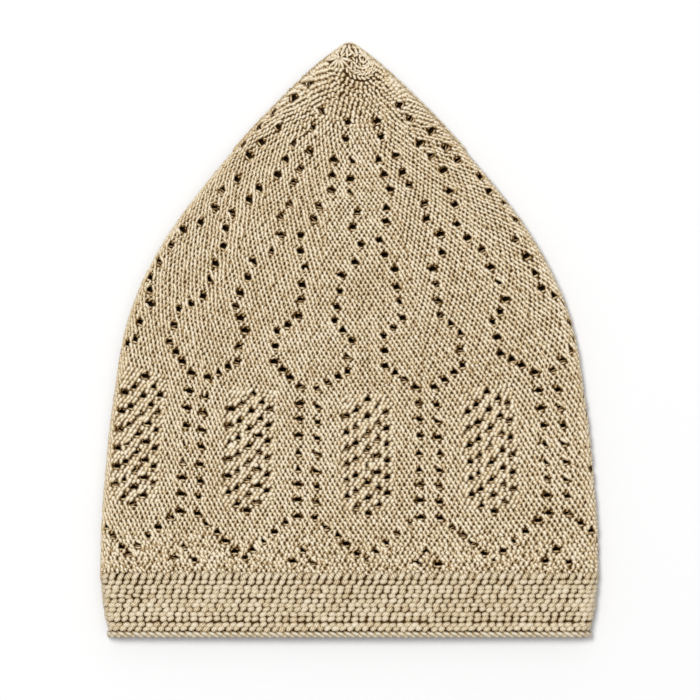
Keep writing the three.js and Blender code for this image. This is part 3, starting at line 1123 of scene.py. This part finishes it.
class KUFI_OT_rim_edging(bpy.types.Operator):
    """Work the corded row of slip stitches along the rim"""
    bl_idname = "kufi.rim_edging"
    bl_label = "Rim edging"

    def execute(self, context):
        sizes = context.scene.kufi_sizes
        colours = context.scene.kufi_colours
        rng = np.random.default_rng(SEED + 3)
        slip = strand("slip_stitch", 8, 6, 1.15, .9, .25)
        turns = np.arange(BAND_STITCHES) / BAND_STITCHES
        place, along, climb, normal = band_frames(turns, np.zeros(BAND_STITCHES))
        middle = (EDGING_LOW.y + EDGING_HIGH.y) / 2
        thick = EDGING_HIGH.y - EDGING_LOW.y
        parts = []
        for sink, slope, lift in CORD_ROWS:
            sunk = place - normal * thick * .5 * sink
            sunk[:, 1] = middle + lift * thick * .3
            axis = unit(along * np.cos(slope) + climb * np.sin(slope)) * SLIP_REACH
            width = thick * .34 * rng.normal(1, .05, BAND_STITCHES)
            parts.append(lay_strands(slip, sunk - axis, sunk + axis, normal, width, width, rng))
        piece = new_mesh("rim_cord", *join_arrays(parts))
        # The cord's copy of the yarn is painted darker all over, as painted shade along the rim.
        material = yarn_finish("edging_cotton", colours, .77, (1, 2.5), .5, .16 * MM, .07)
        hand_in(piece, material, "rim_edging")
        remove(slip)
        return {"FINISHED"}


class KUFI_OT_stage(bpy.types.Operator):
    """Set the pale floor, the soft light and the camera straight above"""
    bl_idname = "kufi.stage"
    bl_label = "Stage"

    def execute(self, context):
        colours = context.scene.kufi_colours
        self.lay_floor(colours)
        self.light_it(context.scene)
        self.aim_camera(context.scene)
        context.scene.view_settings.view_transform = "Standard"
        return {"FINISHED"}

    @staticmethod
    def lay_floor(colours):
        deselect()
        bpy.ops.mesh.primitive_plane_add(size=6, location=(0, 0, 0))
        floor = bpy.context.object
        floor.name = "floor"
        bpy.ops.object.transform_apply(location=True, rotation=True, scale=True)
        floor.data.materials.append(flat_finish("pale_paper", colours.floor))

    @staticmethod
    def light_it(scene):
        world = bpy.data.worlds.new("studio")
        scene.world = world
        world.use_nodes = True
        sky = world.node_tree.nodes["Background"]
        sky.inputs["Color"].default_value = (1, 1, 1, 1)
        sky.inputs["Strength"].default_value = SKY_STRENGTH
        for name, place, size, watts in LAMPS:
            light = bpy.data.lights.new(name, "AREA")
            light.size = size
            light.energy = watts
            lamp = bpy.data.objects.new(name, light)
            lamp.location = place
            lamp.rotation_euler = (-Vector(place)).to_track_quat("-Z", "Y").to_euler()
            scene.collection.objects.link(lamp)

    @staticmethod
    def aim_camera(scene):
        camera = bpy.data.cameras.new("camera")
        camera.sensor_width = 36
        camera.lens = camera.sensor_width * CAMERA_DISTANCE / VIEW_WIDTH
        camera.clip_end = 20
        eye = bpy.data.objects.new("camera", camera)
        eye.location = (*PHOTO_MIDDLE, CAMERA_DISTANCE + .01)
        scene.collection.objects.link(eye)
        scene.camera = eye


class KUFI_PT_panel(bpy.types.Panel):
    """Sizes, colours and steps of the kufi"""
    bl_idname = "KUFI_PT_panel"
    bl_label = "Kufi"
    bl_space_type = "VIEW_3D"
    bl_region_type = "UI"
    bl_category = "Kufi"

    def draw(self, context):
        for group in (context.scene.kufi_sizes, context.scene.kufi_colours):
            for key in group.__annotations__:
                self.layout.prop(group, key)
        for step in STEPS:
            self.layout.operator(step.bl_idname)


STEPS = (KUFI_OT_crown_ground, KUFI_OT_crown_stitches, KUFI_OT_rosette, KUFI_OT_band,
         KUFI_OT_rim_edging, KUFI_OT_stage)
CLASSES = (KufiSizes, KufiColours, *STEPS, KUFI_PT_panel)


def register():
    for item in CLASSES:
        bpy.utils.register_class(item)
    bpy.types.Scene.kufi_sizes = bpy.props.PointerProperty(type=KufiSizes)
    bpy.types.Scene.kufi_colours = bpy.props.PointerProperty(type=KufiColours)


def unregister():
    del bpy.types.Scene.kufi_colours
    del bpy.types.Scene.kufi_sizes
    for item in reversed(CLASSES):
        bpy.utils.unregister_class(item)


def main():
    register()
    bpy.ops.kufi.crown_ground()
    bpy.ops.kufi.crown_stitches()
    bpy.ops.kufi.rosette()
    bpy.ops.kufi.band()
    bpy.ops.kufi.rim_edging()
    bpy.ops.kufi.stage()


if __name__ == "__main__":
    main()
